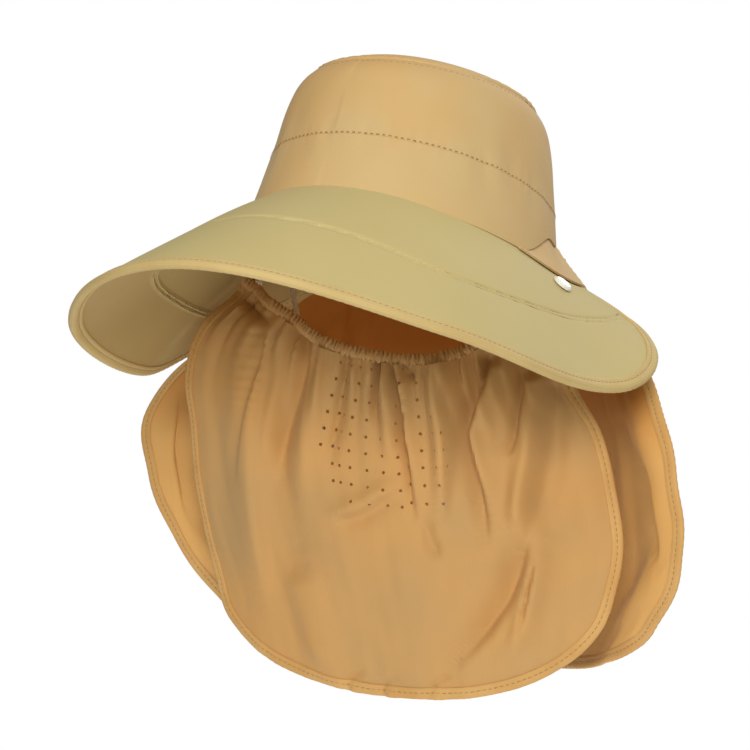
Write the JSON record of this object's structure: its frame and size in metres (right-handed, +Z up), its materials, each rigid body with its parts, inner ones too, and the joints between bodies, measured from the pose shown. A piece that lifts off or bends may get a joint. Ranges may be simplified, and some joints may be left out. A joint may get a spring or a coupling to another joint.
{
  "type": "fishing hat",
  "caption": "Wide-visor fishing hat with a hanging face veil pierced with breathing holes, a long neck flap, side snap buttons and a chin strap.",
  "frame": {"origin": "centre of the oval head opening, where the crown meets the visor and the head holds the hat", "axes": "+Z up as worn, -Y to the front of the hat, +X to the wearer's left; the crown and visor tilt back about X"},
  "size_m": [0.3456, 0.3369, 0.3525],
  "materials": {
    "crown_fabric": "matte woven",
    "visor_fabric": "matte woven",
    "veil_fabric": "soft woven",
    "binding_tape": "matte tape",
    "white_elastic": "matte knitted",
    "snap_plastic": "semi-gloss"
  },
  "bodies": {
    "root": {"crown_tip": "crown_fabric", "crown_side": "crown_fabric", "crown_band": "crown_fabric", "visor": "visor_fabric", "visor_binding": "binding_tape", "neck_flap": "veil_fabric", "neck_flap_binding": "binding_tape", "flap_corner_left": "crown_fabric", "flap_corner_right": "crown_fabric", "face_veil": "veil_fabric", "face_veil_binding": "binding_tape", "veil_casing": "veil_fabric", "veil_hanger_left": "white_elastic", "veil_hanger_right": "white_elastic", "chin_strap": "white_elastic", "snap_button_left": "snap_plastic", "snap_button_right": "snap_plastic"}
  },
  "joints": []
}
